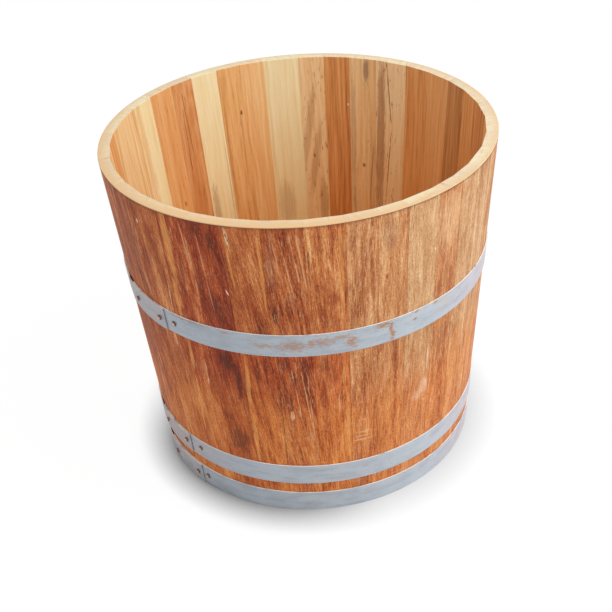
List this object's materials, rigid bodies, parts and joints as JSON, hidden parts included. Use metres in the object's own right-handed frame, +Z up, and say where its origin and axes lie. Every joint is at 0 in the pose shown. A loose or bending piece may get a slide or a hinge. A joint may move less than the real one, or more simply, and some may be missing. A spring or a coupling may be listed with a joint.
{
  "type": "wooden barrel planter",
  "caption": "Open tapered coopered tub: upright wooden staves held by flat galvanised hoops, lapped and riveted, round a grooved-in wooden floor with drain holes.",
  "frame": {"origin": "centre of the foot, on the ground", "axes": "+Z up along the tub's own axis; the lapped ends of the hoops lie at the front left, towards -X and -Y"},
  "size_m": [0.4998, 0.4998, 0.449],
  "materials": {
    "stave_wood": "sawn hardwood, pale and raw inside and on the rim, weathered red-brown stain outside",
    "floor_wood": "raw sawn hardwood",
    "hoop_steel": "dull galvanised strip with faint drawn lines and specks of rust",
    "rivet_copper": "copper-coloured domed head, slightly tarnished"
  },
  "bodies": {
    "root": {"stave_01": "stave_wood", "stave_02": "stave_wood", "stave_03": "stave_wood", "stave_04": "stave_wood", "stave_05": "stave_wood", "stave_06": "stave_wood", "stave_07": "stave_wood", "stave_08": "stave_wood", "stave_09": "stave_wood", "stave_10": "stave_wood", "stave_11": "stave_wood", "stave_12": "stave_wood", "stave_13": "stave_wood", "stave_14": "stave_wood", "stave_15": "stave_wood", "stave_16": "stave_wood", "stave_17": "stave_wood", "stave_18": "stave_wood", "stave_19": "stave_wood", "stave_20": "stave_wood", "stave_21": "stave_wood", "stave_22": "stave_wood", "stave_23": "stave_wood", "stave_24": "stave_wood", "stave_25": "stave_wood", "stave_26": "stave_wood", "stave_27": "stave_wood", "stave_28": "stave_wood", "stave_29": "stave_wood", "stave_30": "stave_wood", "stave_31": "stave_wood", "stave_32": "stave_wood", "stave_33": "stave_wood", "stave_34": "stave_wood", "stave_35": "stave_wood", "stave_36": "stave_wood", "stave_37": "stave_wood", "floor_board_1": "floor_wood", "floor_board_2": "floor_wood", "floor_board_3": "floor_wood", "floor_board_4": "floor_wood", "floor_dowel_1": "floor_wood", "floor_dowel_2": "floor_wood", "floor_dowel_3": "floor_wood", "floor_dowel_4": "floor_wood", "floor_dowel_5": "floor_wood", "floor_dowel_6": "floor_wood", "middle_hoop": "hoop_steel", "lower_hoop": "hoop_steel", "foot_hoop": "hoop_steel", "middle_hoop_rivet_1": "rivet_copper", "middle_hoop_rivet_2": "rivet_copper", "middle_hoop_rivet_3": "rivet_copper", "lower_hoop_rivet_1": "rivet_copper", "lower_hoop_rivet_2": "rivet_copper", "lower_hoop_rivet_3": "rivet_copper", "foot_hoop_rivet_1": "rivet_copper", "foot_hoop_rivet_2": "rivet_copper", "foot_hoop_rivet_3": "rivet_copper"}
  },
  "joints": []
}
